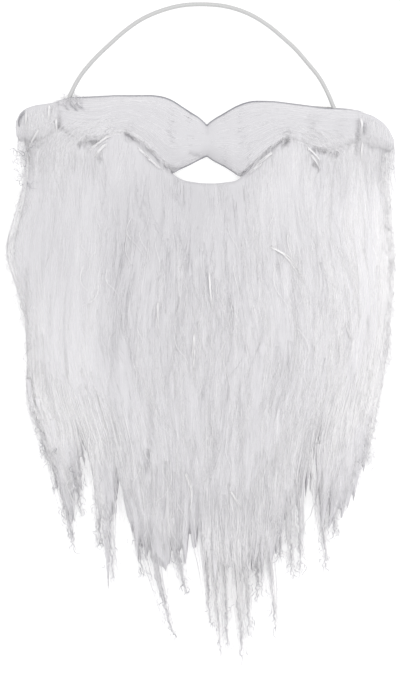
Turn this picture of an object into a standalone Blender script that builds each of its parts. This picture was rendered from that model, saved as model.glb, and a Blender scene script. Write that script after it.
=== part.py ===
"""White costume beard with a moustache, lying face up on a table.

The back of the backing cloth lies in the plane z = 0. +Y runs from the beard's tips to the
top of the moustache, +Z points out of the face, and +X is to the right for someone who looks
at the face of the beard. Every table is in millimetres.
"""

import math

import bmesh
import bpy
import numpy as np
from mathutils import Vector

MM = 0.001
GAP = 0.3

CLOTH_THICKNESS = 1.5
CLOTH_TOP = CLOTH_THICKNESS + GAP

HAIR_ROWS = 15
HAIR_RIM = 2.0
HAIR_SIDE_ROUNDING = 0.3
SURFACE_LOCK_ROWS = 4
SURFACE_LOCKS_IN_A_ROW = 9
SURFACE_LOCK_LENGTH = 92.0
SURFACE_LOCK_WIDTH = 19.0
LOCK_FLATNESS = 0.42

BAND_RIM = 4.6
BAND_PROFILE_POINTS = 9

ELASTIC_DIAMETER = 2.8
ELASTIC_POINT_SPACING = 5.0
TACK_WIDTH = 6.0
TACK_LENGTH = 5.0
TACK_HEIGHT = 2.4
POCKET_HEIGHT = 3.6


def table(columns, *rows):
    """A dictionary that holds each named column of the rows as an array."""
    return dict(zip(columns.split(), np.array(rows, float).T))


# The two side edges of the hair, from the top down.
SIDES = table(
    "y left right",
    (160, -117, 125),
    (145, -118, 124),
    (120, -118, 124),
    (103, -124, 125),
    (87, -127.5, 128),
    (62, -120, 126),
    (47, -114, 125),
    (25, -113, 123),
    (3, -112, 119),
    (-16, -110, 116),
    (-30, -105, 112),
    (-44, -100, 109),
    (-58, -96, 105),
    (-70, -92, 100),
    (-83, -87, 93),
)

# Where the hair starts: under the moustache and the side tufts, and along the mouth.
# "across" runs from 0 at the left edge to 1 at the right edge.
HAIR_TOP = table(
    "across y",
    (0.00, 158),
    (0.07, 158),
    (0.10, 165),
    (0.14, 163),
    (0.19, 160),
    (0.25, 164),
    (0.29, 166),
    (0.32, 162),
    (0.36, 153.5),
    (0.39, 143),
    (0.41, 136),
    (0.43, 133),
    (0.47, 130.4),
    (0.51, 129.2),
    (0.55, 130.3),
    (0.59, 133),
    (0.61, 139),
    (0.655, 151),
    (0.69, 158),
    (0.72, 162.5),
    (0.75, 161),
    (0.82, 155.5),
    (0.87, 160),
    (0.91, 165),
    (0.94, 151),
    (1.00, 151),
)

# Where the mass of hair parts into separate locks.
HAIR_BOTTOM = table(
    "across y",
    (0.00, -40),
    (0.07, -49),
    (0.12, -58),
    (0.16, -68),
    (0.21, -79),
    (0.26, -104),
    (0.31, -120),
    (0.39, -128),
    (0.48, -118),
    (0.54, -139),
    (0.63, -141),
    (0.69, -135),
    (0.74, -124),
    (0.80, -96),
    (0.87, -93),
    (0.92, -84),
    (1.00, -81),
)

# Height of the hair above the table, from where it starts (0) to where it parts (1).
HAIR_HEIGHT = table(
    "along height",
    (0.00, 6),
    (0.06, 10),
    (0.16, 14.5),
    (0.35, 18),
    (0.60, 16.5),
    (0.80, 12),
    (1.00, 6),
)

# The separate locks at the bottom: where each leaves the mass, bends and ends.
END_LOCKS = table(
    "root_x root_y bend_x bend_y tip_x tip_y width",
    (-90, -22, -87, -74, -81, -112, 20),
    (-79, -36, -79, -62, -75, -86, 12),
    (-62, -40, -63, -92, -55, -129, 20),
    (-43, -72, -41, -108, -36, -136, 13),
    (-33, -84, -24, -135, -16, -170, 18),
    (-15, -98, -12, -134, -10, -154, 13),
    (4, -110, 6, -146, 8, -167, 13),
    (14, -112, 14, -154, 14, -183, 14),
    (22, -112, 20, -148, 18, -172, 12),
    (29, -112, 28, -154, 28, -187, 13),
    (36, -112, 34, -146, 33, -168, 12),
    (45, -100, 49, -137, 49, -163, 13),
    (60, -60, 60, -102, 61, -126, 15),
    (73, -44, 77, -90, 81, -124, 13),
    (88, -36, 85, -90, 86, -134, 14),
    (98, -30, 95, -62, 90, -96, 17),
)

# The moustache from end to end: its upper and lower edge, and its height over the cloth.
MOUSTACHE = table(
    "x top bottom height",
    (-92, 182.5, 168, 5.5),
    (-86, 185, 160, 8),
    (-75, 186, 156, 9.5),
    (-64, 186.5, 155.5, 10),
    (-55, 187, 159, 10.5),
    (-47, 187, 160.5, 11),
    (-39, 187, 156, 11.5),
    (-31, 187, 148, 12),
    (-24, 186, 141.5, 12),
    (-18.5, 184, 136.2, 12),
    (-13, 180.5, 138.5, 11.5),
    (-7, 176.5, 141.2, 11),
    (0, 171.5, 144.8, 10),
    (4.5, 168.5, 146.5, 8),
    (9, 171, 143.8, 10),
    (16, 175.5, 140.2, 11),
    (21, 178.5, 137, 11.5),
    (26.2, 181, 133.9, 12),
    (33, 183, 139.3, 12),
    (41, 183.3, 146, 12),
    (49, 183, 152.5, 11.5),
    (57, 182, 156, 11),
    (65, 181, 154, 10.5),
    (73, 180, 151.5, 10),
    (81, 179, 150, 10),
    (91, 178.5, 153, 9.5),
    (98, 178, 158, 8),
    (103, 176.5, 164, 5.5),
)

# The tufts that turn down at the two ends of the moustache, ridge after groove.
TUFT_LEFT = table(
    "x top bottom height",
    (-120, 170, 162, 4),
    (-117.5, 175, 156.5, 7),
    (-114, 178, 159.5, 5.5),
    (-110.5, 179.5, 155.5, 9),
    (-107, 180.5, 159.5, 7),
    (-103.5, 181, 156, 9.5),
    (-100, 181, 160, 7.5),
    (-97, 181, 158, 9),
    (-94.5, 181, 163, 7),
    (-92.4, 181, 168, 5.5),
)
TUFT_RIGHT = table(
    "x top bottom height",
    (103.4, 176.5, 163, 5.5),
    (105.5, 176, 154, 8.5),
    (108.5, 175, 157.5, 6.5),
    (111.5, 174, 150, 9.5),
    (114.5, 172.5, 154, 7.5),
    (117.5, 170.5, 149.5, 9),
    (120.5, 168, 153, 6.5),
    (123.5, 164, 149.5, 7),
    (126.5, 158, 152, 4),
)

# The outline of the backing cloth. A row with corner 1 is a sharp point.
CLOTH_OUTLINE = table(
    "x y corner",
    (-114, 174, 0),
    (-88, 182.5, 0),
    (-45, 185, 0),
    (-22, 183.5, 0),
    (4.5, 166, 1),
    (33, 182, 0),
    (66, 180, 0),
    (98, 177, 0),
    (121, 168, 0),
    (121, 140, 0),
    (120, 90, 0),
    (117, 45, 0),
    (110, 8, 0),
    (82, -26, 0),
    (0, -42, 0),
    (-80, -26, 0),
    (-103, 8, 0),
    (-108, 45, 0),
    (-115, 90, 0),
    (-114, 140, 0),
)
MOUTH_OUTLINE = table(
    "x y corner",
    (-20.5, 136.2, 1),
    (-7, 143, 0),
    (4.5, 148.5, 1),
    (16, 142, 0),
    (28.3, 133.9, 1),
    (16, 131, 0),
    (5, 129.8, 0),
    (-8, 131.3, 0),
)

# The elastic's own route, chosen by hand, from the left tack over the top to the right one.
ELASTIC_ROUTE = table(
    "x y z",
    (-87.0, 180.0, 3.2),
    (-85.2, 185.3, 3.2),
    (-79.0, 198.0, 1.9),
    (-69.8, 209.7, 1.5),
    (-59.0, 220.2, 1.45),
    (-48.8, 229.2, 1.45),
    (-38.3, 236.5, 1.45),
    (-26.0, 242.0, 1.45),
    (-12.7, 245.5, 1.45),
    (2.6, 246.4, 1.45),
    (18.0, 244.8, 1.45),
    (33.0, 239.6, 1.45),
    (44.5, 232.6, 1.45),
    (54.0, 224.8, 1.45),
    (62.0, 217.5, 1.45),
    (69.4, 209.0, 1.5),
    (78.0, 198.2, 1.9),
    (84.2, 186.2, 3.2),
    (87.8, 177.2, 3.2),
)

COLOURS = {
    "hair": (0.72, 0.72, 0.73),
    "cloth": (0.66, 0.66, 0.65),
    "elastic": (0.62, 0.62, 0.62),
}


def clear_scene():
    for obj in list(bpy.data.objects):
        bpy.data.objects.remove(obj)


def new_collection(name):
    collection = bpy.data.collections.new(name)
    bpy.context.scene.collection.children.link(collection)
    return collection


def make_material(name, colour, roughness):
    material = bpy.data.materials.new(name)
    material.use_nodes = True
    shader = material.node_tree.nodes["Principled BSDF"]
    shader.inputs["Base Color"].default_value = (*colour, 1)
    shader.inputs["Roughness"].default_value = roughness
    shader.inputs["Metallic"].default_value = 0.0
    return material


def add_object(name, data, collection, material=None):
    obj = bpy.data.objects.new(name, data)
    collection.objects.link(obj)
    if material:
        data.materials.append(material)
    return obj


def mesh_of_curve(curve, name):
    """The curve as a closed mesh, with its caps joined to its sides."""
    holder = bpy.data.objects.new(name, curve)
    bpy.context.scene.collection.objects.link(holder)
    graph = bpy.context.evaluated_depsgraph_get()
    mesh = bpy.data.meshes.new_from_object(holder.evaluated_get(graph))
    bpy.data.objects.remove(holder)
    bpy.data.curves.remove(curve)
    shape = bmesh.new()
    shape.from_mesh(mesh)
    bmesh.ops.remove_doubles(shape, verts=shape.verts, dist=0.00001)
    bmesh.ops.recalc_face_normals(shape, faces=shape.faces)
    shape.to_mesh(mesh)
    shape.free()
    mesh.name = name
    return mesh


def points_of(mesh):
    """The mesh's points in millimetres, one row for each."""
    flat = np.empty(len(mesh.vertices) * 3)
    mesh.vertices.foreach_get("co", flat)
    return flat.reshape(-1, 3) / MM


def set_points(mesh, points):
    mesh.vertices.foreach_set("co", (points * MM).ravel())
    mesh.update()


def pillow(name, surface, columns, rows, base):
    """A closed solid: a grid of columns by rows whose points come from surface(u, v), and a
    rim that drops straight from the grid's border to a flat underside at height base."""
    shape = bmesh.new()
    bmesh.ops.create_grid(shape, x_segments=columns - 1, y_segments=rows - 1, size=0.5)
    for vertex in shape.verts:
        u = round((vertex.co.x + 0.5) * (columns - 1)) / (columns - 1)
        v = round((vertex.co.y + 0.5) * (rows - 1)) / (rows - 1)
        vertex.co = Vector(surface(u, v)) * MM
    border = [edge for edge in shape.edges if edge.is_boundary]
    rim = bmesh.ops.extrude_edge_only(shape, edges=border)["geom"]
    for element in rim:
        if isinstance(element, bmesh.types.BMVert):
            element.co.z = base * MM
    loop = [edge for edge in rim if isinstance(edge, bmesh.types.BMEdge) and edge.is_boundary]
    bmesh.ops.contextual_create(shape, geom=loop)
    bmesh.ops.recalc_face_normals(shape, faces=shape.faces)
    mesh = bpy.data.meshes.new(name)
    shape.to_mesh(mesh)
    shape.free()
    return mesh


def side_at(y, side):
    """The x of the hair's left or right edge at height y."""
    return np.interp(-y, -SIDES["y"], SIDES[side])


def hair_place(across, along):
    """The plan position of a point of the hair, from its share across and its share along."""
    top = np.interp(across, HAIR_TOP["across"], HAIR_TOP["y"])
    bottom = np.interp(across, HAIR_BOTTOM["across"], HAIR_BOTTOM["y"])
    y = top + (bottom - top) * along
    left = side_at(y, "left")
    right = side_at(y, "right")
    return left + (right - left) * across, y


def hair_height(across, along):
    """Height of the hair's surface: a table along its length, rounded off at the two sides."""
    height = np.interp(along, HAIR_HEIGHT["along"], HAIR_HEIGHT["height"])
    from_side = min(across, 1 - across) / HAIR_SIDE_ROUNDING
    rounding = math.sqrt(1 - (1 - min(from_side, 1)) ** 2)
    return HAIR_RIM + (height - HAIR_RIM) * rounding


def hair_surface(u, v):
    """A point of the mass of hair. The grid's columns stand where HAIR_TOP has its rows."""
    shares = HAIR_TOP["across"]
    across = np.interp(u * (len(shares) - 1), range(len(shares)), shares)
    along = 1 - v
    x, y = hair_place(across, along)
    return x, y, hair_height(across, along)


def band_surface(band, grow=0.0):
    """surface(u, v) of a padded band, larger by grow on every side for a cutter."""

    def surface(u, v):
        place = u * (len(band["x"]) - 1)
        row = {name: np.interp(place, range(len(c)), c) for name, c in band.items()}
        low = row["bottom"] - grow
        high = row["top"] + grow
        dome = math.sqrt(1 - (2 * v - 1) ** 2)
        rim = min(BAND_RIM, row["height"] * 0.7)
        z = CLOTH_TOP + grow + rim + (row["height"] - rim) * dome
        x = row["x"] + grow * (2 * u - 1)
        return x, low + (high - low) * v, z

    return surface


def band_mesh(name, band, grow=0.0):
    """The band's solid on the cloth, or the cutter that clears a gap round it."""
    columns = 2 * len(band["x"]) - 1
    base = CLOTH_TOP - 2 * grow
    return pillow(name, band_surface(band, grow), columns, BAND_PROFILE_POINTS, base)


def lock_mesh(name, route, width, heights):
    """A flat tapering lock of hair along three plan points. It is widest near its root, ends
    in a point, and its middle stands at heights[0] at the root and heights[1] at the tip."""
    curve = bpy.data.curves.new(name, "CURVE")
    curve.dimensions = "3D"
    curve.bevel_depth = width / 2 * MM
    curve.bevel_resolution = 1
    curve.resolution_u = 3
    curve.use_fill_caps = True
    spline = curve.splines.new("BEZIER")
    spline.bezier_points.add(len(route) - 1)
    for point, (x, y), radius in zip(spline.bezier_points, route, (0.8, 0.72, 0.06)):
        point.co = (x * MM, y * MM, 0)
        point.radius = radius
        point.handle_left_type = point.handle_right_type = "AUTO"
    mesh = mesh_of_curve(curve, name)
    points = points_of(mesh)
    root_y, tip_y = route[0][1], route[-1][1]
    along = np.clip((root_y - points[:, 1]) / (root_y - tip_y), 0, 1)
    points[:, 2] = points[:, 2] * LOCK_FLATNESS + np.interp(along, (0, 1), heights)
    set_points(mesh, points)
    return mesh


def lock_rows(locks):
    """Each row of a table of locks as (three plan points, width)."""
    for row in zip(*locks.values()):
        yield (row[0:2], row[2:4], row[4:6]), row[6]


def boolean(obj, operation, other):
    """A live Boolean on obj with another object, or with all of a collection."""
    modifier = obj.modifiers.new(f"{operation.lower()} {other.name}", "BOOLEAN")
    modifier.operation = operation
    modifier.solver = "EXACT"
    if isinstance(other, bpy.types.Collection):
        modifier.operand_type = "COLLECTION"
        modifier.collection = other
    else:
        modifier.object = other


def helper(name, mesh, collection):
    """An object that a Boolean reads and that isn't part of the beard."""
    obj = add_object(name, mesh, collection)
    obj.hide_render = True
    obj.display_type = "WIRE"
    return obj


def outline_mesh(name, outlines, low, high, scale=1.0):
    """A flat sheet between two heights, from a 2D curve with a closed spline for each outline."""
    curve = bpy.data.curves.new(name, "CURVE")
    curve.dimensions = "2D"
    curve.fill_mode = "BOTH"
    curve.resolution_u = 4
    curve.extrude = (high - low) / 2 * MM
    for outline in outlines:
        spline = curve.splines.new("BEZIER")
        spline.use_cyclic_u = True
        spline.bezier_points.add(len(outline["x"]) - 1)
        for point, x, y, corner in zip(spline.bezier_points, *outline.values()):
            point.co = (x * scale * MM, y * scale * MM, 0)
            handle = "VECTOR" if corner else "AUTO"
            point.handle_left_type = point.handle_right_type = handle
    mesh = mesh_of_curve(curve, name)
    points = points_of(mesh)
    points[:, 2] += (low + high) / 2
    set_points(mesh, points)
    return mesh


def box_mesh(name, centre, size, turn):
    """A box of that size in millimetres, turned by that angle about +Z."""
    shape = bmesh.new()
    bmesh.ops.create_cube(shape, size=1)
    mesh = bpy.data.meshes.new(name)
    shape.to_mesh(mesh)
    shape.free()
    points = points_of(mesh) * MM * np.array(size)
    cosine, sine = math.cos(turn), math.sin(turn)
    turned = points @ np.array(((cosine, sine, 0), (-sine, cosine, 0), (0, 0, 1)))
    set_points(mesh, turned + np.array(centre))
    return mesh


def make_backing(collection, material):
    mesh = outline_mesh("backing_cloth", (CLOTH_OUTLINE, MOUTH_OUTLINE), 0, CLOTH_THICKNESS)
    return add_object("backing_cloth", mesh, collection, material)


def make_band(name, band, collection, material):
    return add_object(name, band_mesh(name, band), collection, material)


def make_hair(collection, material):
    """The mass of hair, which locks are fused to."""
    columns = len(HAIR_TOP["across"])
    mesh = pillow("beard_hair", hair_surface, columns, HAIR_ROWS, 0)
    return add_object("beard_hair", mesh, collection, material)


def make_end_locks(collection):
    for number, (route, width) in enumerate(lock_rows(END_LOCKS)):
        mesh = lock_mesh(f"end_lock_{number}", route, width, (6.5, 1.0))
        helper(mesh.name, mesh, collection)


def make_surface_locks(collection):
    """Locks in rows on the mass of hair, each row half a lock aside from the one above."""
    for row in range(SURFACE_LOCK_ROWS):
        count = SURFACE_LOCKS_IN_A_ROW - row % 2
        for place in range(count):
            across = (place + 0.5) / count
            start = 0.1 + row * 0.21 + 0.05 * math.sin(5 * place + row)
            root_x, root_y = hair_place(across, start)
            tip_y = root_y - SURFACE_LOCK_LENGTH * (1 + 0.15 * math.cos(3 * place + row))
            fall = tip_y - root_y
            drift = -0.1 * root_x + 4 * math.sin(2 * place + 3 * row)
            route = (
                (root_x, root_y),
                (root_x + 0.6 * drift, root_y + 0.5 * fall),
                (root_x + drift, tip_y),
            )
            root_height = hair_height(across, start) - 1.5
            tip_height = hair_height(across, min(start + 0.32, 1)) - 2
            heights = (root_height, max(tip_height, 3.0))
            name = f"surface_lock_{row}_{place}"
            mesh = lock_mesh(name, route, SURFACE_LOCK_WIDTH, heights)
            helper(name, mesh, collection)


def smooth_route(route, spacing):
    """Points a given distance apart on a smooth curve through the route's own points.

    Each stretch is a Catmull-Rom cubic of the two points beside it and their neighbours.
    """
    points = np.column_stack(list(route.values()))
    padded = np.vstack((2 * points[0] - points[1], points, 2 * points[-1] - points[-2]))
    share = np.linspace(0, 1, 24, endpoint=False)[:, None]
    stretches = []
    for before, start, end, after in zip(padded, padded[1:], padded[2:], padded[3:]):
        bend = 2 * before - 5 * start + 4 * end - after
        twist = 3 * (start - end) + after - before
        curve = 2 * start + (end - before) * share + bend * share**2 + twist * share**3
        stretches.append(curve / 2)
    line = np.vstack((*stretches, points[-1]))
    steps = np.linalg.norm(np.diff(line, axis=0), axis=1)
    along = np.concatenate(([0], np.cumsum(steps)))
    places = np.linspace(0, along[-1], round(along[-1] / spacing) + 1)
    return np.column_stack([np.interp(places, along, line[:, axis]) for axis in range(3)])


def make_elastic(collection, material):
    points = smooth_route(ELASTIC_ROUTE, ELASTIC_POINT_SPACING)
    curve = bpy.data.curves.new("elastic_cord", "CURVE")
    curve.dimensions = "3D"
    curve.bevel_depth = ELASTIC_DIAMETER / 2 * MM
    curve.bevel_resolution = 2
    curve.use_fill_caps = True
    spline = curve.splines.new("POLY")
    spline.points.add(len(points) - 1)
    for point, place in zip(spline.points, points):
        point.co = (*(place * MM), 1)
    return add_object("elastic_cord", curve, collection, material)


def elastic_ends():
    """(name, end point, direction out of the tack, angle of that direction) of both ends."""
    points = np.column_stack(list(ELASTIC_ROUTE.values()))
    for name, end, inner in (("left", points[0], points[1]), ("right", points[-1], points[-2])):
        outward = (inner - end)[:2] / np.linalg.norm((inner - end)[:2])
        yield name, end, outward, math.atan2(outward[1], outward[0])


def make_tacks(collection, material):
    """The sewn tack that each end of the elastic comes out of, under the moustache."""
    for name, end, outward, turn in elastic_ends():
        x, y = end[:2] - outward * (TACK_LENGTH / 2 + GAP)
        centre = (x, y, CLOTH_TOP + TACK_HEIGHT / 2)
        size = (TACK_LENGTH, TACK_WIDTH, TACK_HEIGHT)
        mesh = box_mesh(f"elastic_tack_{name}", centre, size, turn)
        add_object(mesh.name, mesh, collection, material)


def make_pockets(moustache, collection):
    """Room in the moustache's underside for the tacks and the elastic that leaves them."""
    length = 2.4 * TACK_LENGTH + 2 * GAP
    for name, end, outward, turn in elastic_ends():
        x, y = end[:2] + outward * (length / 2 - TACK_LENGTH - 2 * GAP)
        centre = (x, y, CLOTH_TOP + POCKET_HEIGHT / 2 - 2 * GAP)
        size = (length, TACK_WIDTH + 2 * GAP, POCKET_HEIGHT + 2 * GAP)
        mesh = box_mesh(f"pocket_{name}", centre, size, turn)
        boolean(moustache, "DIFFERENCE", helper(mesh.name, mesh, collection))


clear_scene()
parts = new_collection("costume_beard")
cutters = new_collection("cutters")
end_locks = new_collection("end_locks")
surface_locks = new_collection("surface_locks")
hair_material = make_material("white_fibre", COLOURS["hair"], 0.75)
cloth_material = make_material("knitted_backing", COLOURS["cloth"], 0.9)
elastic_material = make_material("covered_elastic", COLOURS["elastic"], 0.8)

make_backing(parts, cloth_material)
moustache = make_band("moustache", MOUSTACHE, parts, hair_material)
make_pockets(moustache, cutters)
make_band("side_tuft_left", TUFT_LEFT, parts, hair_material)
make_band("side_tuft_right", TUFT_RIGHT, parts, hair_material)
make_tacks(parts, cloth_material)
make_elastic(parts, elastic_material)

hair = make_hair(parts, hair_material)
make_end_locks(end_locks)
make_surface_locks(surface_locks)
boolean(hair, "UNION", end_locks)
boolean(hair, "UNION", surface_locks)

cloth_mesh = outline_mesh("cloth_room", (CLOTH_OUTLINE,), -1, CLOTH_TOP, scale=1.01)
boolean(hair, "DIFFERENCE", helper("cloth_room", cloth_mesh, cutters))
for name, band in (("moustache", MOUSTACHE), ("left", TUFT_LEFT), ("right", TUFT_RIGHT)):
    room = helper(f"room_{name}", band_mesh(f"room_{name}", band, GAP), cutters)
    boolean(hair, "DIFFERENCE", room)
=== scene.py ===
# %% [markdown]
# # A white costume beard
#
# This lesson dresses a costume beard that lies face up on a table. The real one is long
# synthetic hair sewn to a knitted cloth, with a combed moustache over a mouth opening and a
# thin elastic that goes over the head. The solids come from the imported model, which is loaded
# first and never changed. Each soft solid is then replaced by a finer surface in its place.

# %% Load the model
import math
import bpy
import numpy as np
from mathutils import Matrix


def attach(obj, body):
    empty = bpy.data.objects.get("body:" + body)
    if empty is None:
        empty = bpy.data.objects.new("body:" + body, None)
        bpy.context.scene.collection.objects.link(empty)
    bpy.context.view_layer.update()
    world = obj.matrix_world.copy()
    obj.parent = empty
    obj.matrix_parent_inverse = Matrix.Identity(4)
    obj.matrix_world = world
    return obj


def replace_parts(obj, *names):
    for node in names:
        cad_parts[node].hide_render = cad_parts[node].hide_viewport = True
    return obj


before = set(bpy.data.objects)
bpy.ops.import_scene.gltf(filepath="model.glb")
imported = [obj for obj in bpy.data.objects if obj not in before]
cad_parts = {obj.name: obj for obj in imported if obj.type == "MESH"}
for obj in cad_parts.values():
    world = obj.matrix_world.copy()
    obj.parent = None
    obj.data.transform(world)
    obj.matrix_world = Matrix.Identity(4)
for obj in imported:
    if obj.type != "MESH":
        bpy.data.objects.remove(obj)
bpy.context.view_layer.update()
MM = 0.001
rng = np.random.default_rng(24)
print("solids:", ", ".join(sorted(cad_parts)))

# %% [markdown]
# ## The camera
#
# The beard was laid on a white table and photographed from straight above, so the camera looks
# down. A long lens from far away keeps the edges of the beard square. One pixel of a picture
# that is 400 pixels wide covers 0.65 mm of the table.

# %% Make the camera
PIXEL_MM = 0.65
PICTURE_PIXELS = 400
SENSOR_MM = 36
CAMERA_HEIGHT = 1.6
HAIR_LEVEL = 0.008
MIDDLE_Y_MM = 28.9

lens = bpy.data.cameras.new("camera")
camera = bpy.data.objects.new("camera", lens)
bpy.context.scene.collection.objects.link(camera)
camera.location = (0, MIDDLE_Y_MM * MM, CAMERA_HEIGHT)
lens.sensor_fit = "HORIZONTAL"
lens.sensor_width = SENSOR_MM
lens.lens = SENSOR_MM * (CAMERA_HEIGHT - HAIR_LEVEL) / (PICTURE_PIXELS * PIXEL_MM * MM)
lens.clip_end = 10
bpy.context.scene.camera = camera
print("lens in mm:", round(lens.lens))

# %% [markdown]
# ## Putting arrays into meshes
#
# Every new piece is worked out with numpy as whole arrays and handed to Blender in one go.
# Three helpers do it: one makes a mesh from points and faces, one closes a pair of point grids
# into a solid skin, and one sweeps many thin tubes at once, which is how hair is made here.
# Tubes with three sides are enough, because one hair is about as wide as one pixel.

# %% From arrays to an object
triangles = {}


def piece_from(name, points, faces, material, slot, **attributes):
    """A mesh object from points in millimetres and a list of face arrays, one row per face."""
    mesh = bpy.data.meshes.new(name)
    corners = np.concatenate([rows.ravel() for rows in faces])
    sizes = np.concatenate([np.full(len(rows), rows.shape[1]) for rows in faces])
    mesh.vertices.add(len(points))
    mesh.vertices.foreach_set("co", (points * MM).ravel())
    mesh.loops.add(len(corners))
    mesh.loops.foreach_set("vertex_index", corners.astype(np.int32))
    mesh.polygons.add(len(sizes))
    mesh.polygons.foreach_set("loop_start", (np.cumsum(sizes) - sizes).astype(np.int32))
    mesh.polygons.foreach_set("use_smooth", np.ones(len(sizes), bool))
    for key, values in attributes.items():
        wide = values.size == 3 * len(points)
        layer = mesh.attributes.new(key, "FLOAT_VECTOR" if wide else "FLOAT", "POINT")
        layer.data.foreach_set("vector" if wide else "value", values.ravel().astype(np.float32))
    mesh.update(calc_edges=True)
    mesh.materials.append(material)
    piece = bpy.data.objects.new(name, mesh)
    bpy.context.scene.collection.objects.link(piece)
    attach(piece, "root")
    triangles[name] = int((sizes - 2).sum())
    print(f"{name}: {triangles[name]} triangles")
    return piece


def grid_quads(index, wrap=False):
    """The quads between neighbours of a grid of point numbers, joined round if wrap is set."""
    if wrap:
        index = np.concatenate((index, index[:, :1]), axis=1)
    quads = np.stack((index[:-1, :-1], index[:-1, 1:], index[1:, 1:], index[1:, :-1]), -1)
    return quads.reshape(-1, 4)


def skin(top, bottom, wrap=False):
    """Points and faces of the closed skin between two grids of the same shape.

    The top grid and the turned bottom grid are joined along their borders. If the volume
    comes out negative, every face is turned round, so that all of them point outwards.
    """
    rows, columns = top.shape[:2]
    above = np.arange(rows * columns).reshape(rows, columns)
    below = above + rows * columns
    faces = [grid_quads(above, wrap), grid_quads(below, wrap)[:, ::-1]]
    for line in (0, -1):
        rim = grid_quads(np.stack((above[line], below[line])), wrap)
        faces.append(rim[:, ::-1] if line == 0 else rim)
        if not wrap:
            side = grid_quads(np.stack((above[:, line], below[:, line])))
            faces.append(side if line == 0 else side[:, ::-1])
    points = np.concatenate((top.reshape(-1, 3), bottom.reshape(-1, 3)))
    quads = np.concatenate(faces)
    a, b, c, d = (points[quads[:, corner]] for corner in range(4))
    volume = (a * np.cross(b, c) + a * np.cross(c, d)).sum()
    return points, [quads if volume > 0 else quads[:, ::-1]]


def tubes(paths, radii, sides):
    """Points and faces of a closed tube along each path.

    paths has a row of points for each tube, and radii one radius for each point. At each
    point a ring stands square to the path: centre + radius * (cos(angle) * across +
    sin(angle) * up). The first and the last ring are closed with a face.
    """
    count, steps = paths.shape[:2]
    along = np.gradient(paths, axis=1)
    across = np.cross(along, (0.0, 0.0, 1.0))
    across /= np.linalg.norm(across, axis=2, keepdims=True) + 1e-9
    up = np.cross(across, along)
    up /= np.linalg.norm(up, axis=2, keepdims=True) + 1e-9
    angle = np.arange(sides) * 2 * np.pi / sides + rng.uniform(0, 6, (count, 1, 1))
    ring = np.cos(angle)[..., None] * across[:, :, None]
    ring = ring + np.sin(angle)[..., None] * up[:, :, None]
    points = paths[:, :, None] + radii[:, :, None, None] * ring
    index = np.arange(count * steps * sides).reshape(count, steps, sides)
    ends = np.roll(index, -1, axis=2)
    walls = np.stack((index[:, :-1], ends[:, :-1], ends[:, 1:], index[:, 1:]), -1)
    caps = np.concatenate((index[:, 0, ::-1], index[:, -1]))
    return points.reshape(-1, 3), [walls.reshape(-1, 4), caps]


# %% [markdown]
# ## Numbers from tables
#
# The beard's outline, its locks and the moustache's form are read from short tables in
# millimetres. A smooth curve through the rows keeps the forms free of corners.

# %% Tables and smooth curves


def table(columns, *rows):
    """A dictionary that holds each named column of the rows as an array."""
    return dict(zip(columns.split(), np.array(rows, float).T))


def curve(at, xs, ys):
    """The smooth curve through the rows (x, y), read at each value of at.

    Between two rows it is the cubic that has their heights and, at each, the slope of the
    line from the row before to the row after. Outside the rows it keeps the last height.
    """
    slope = np.gradient(ys, xs)
    at = np.clip(at, xs[0], xs[-1])
    place = np.clip(np.searchsorted(xs, at) - 1, 0, len(xs) - 2)
    width = xs[place + 1] - xs[place]
    t = (at - xs[place]) / width
    start = (1 + 2 * t) * (1 - t) ** 2 * ys[place] + t * (1 - t) ** 2 * width * slope[place]
    stop = t**2 * (3 - 2 * t) * ys[place + 1] + t**2 * (t - 1) * width * slope[place + 1]
    return start + stop


def read(rows, key, at):
    """A column of a table, read at each value of at as a smooth curve over the first column."""
    return curve(at, rows[next(iter(rows))], rows[key])


def drift(x, y, scale, seed):
    """A smooth random height between about -1 and 1 over the plane.

    It is the mean of eight sine waves of random direction, whose wavelengths lie around the
    scale in millimetres.
    """
    made = np.random.default_rng(seed)
    total = 0
    for heading, size, phase in made.uniform((0, 0.7, 0), (2 * np.pi, 1.6, 6.3), (8, 3)):
        step = 2 * np.pi / (scale * size)
        wave = step * (np.cos(heading) * x + np.sin(heading) * y) + phase
        total = total + np.sin(wave)
    return total / 4


# %% [markdown]
# ## Materials
#
# White wig hair is a modacrylic fibre. It is white all through, with a slight cool tint from
# the optical brightener, and it has a soft satin shine along each fibre. One helper adds a
# node with its settings and links, and each material is then a few calls.

# %% Colours and nodes


def linear(code):
    """The linear colour of an sRGB hex code: each channel is decoded by the sRGB curve."""
    parts = [int(code[place : place + 2], 16) / 255 for place in (1, 3, 5)]
    parts = [p / 12.92 if p <= 0.04045 else ((p + 0.055) / 1.055) ** 2.4 for p in parts]
    return (*parts, 1.0)


def add_node(tree, kind, links=None, **settings):
    """A new node. Settings name its properties or its sockets, and links its input sockets.

    A link is the socket that it comes from, or a number for the input itself.
    """
    made = tree.nodes.new(kind)
    for name, value in settings.items():
        if hasattr(made, name):
            setattr(made, name, value)
        else:
            made.inputs[name.replace("_", " ")].default_value = value
    for name, source in (links or {}).items():
        if isinstance(source, (int, float)):
            made.inputs[name].default_value = source
        else:
            tree.links.new(source, made.inputs[name])
    return made


def new_material(name, **shader_settings):
    """A material with its Principled shader, whose constant values are set on its sockets."""
    material = bpy.data.materials.new(name)
    material.use_nodes = True
    shader = material.node_tree.nodes["Principled BSDF"]
    for key, value in shader_settings.items():
        shader.inputs[key.replace("_", " ")].default_value = value
    return material, material.node_tree, shader


def colour_by(tree, shader, value, first, last, middle=None):
    """Colour the shader by a value: first at 0, last at 1, and middle, if given, at 0.35."""
    ramp = add_node(tree, "ShaderNodeValToRGB", {"Fac": value})
    stops = ramp.color_ramp.elements
    stops[0].color = linear(first)
    stops[1].color = linear(last)
    if middle:
        stops.new(0.35).color = linear(middle)
    tree.links.new(ramp.outputs["Color"], shader.inputs["Base Color"])


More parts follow.
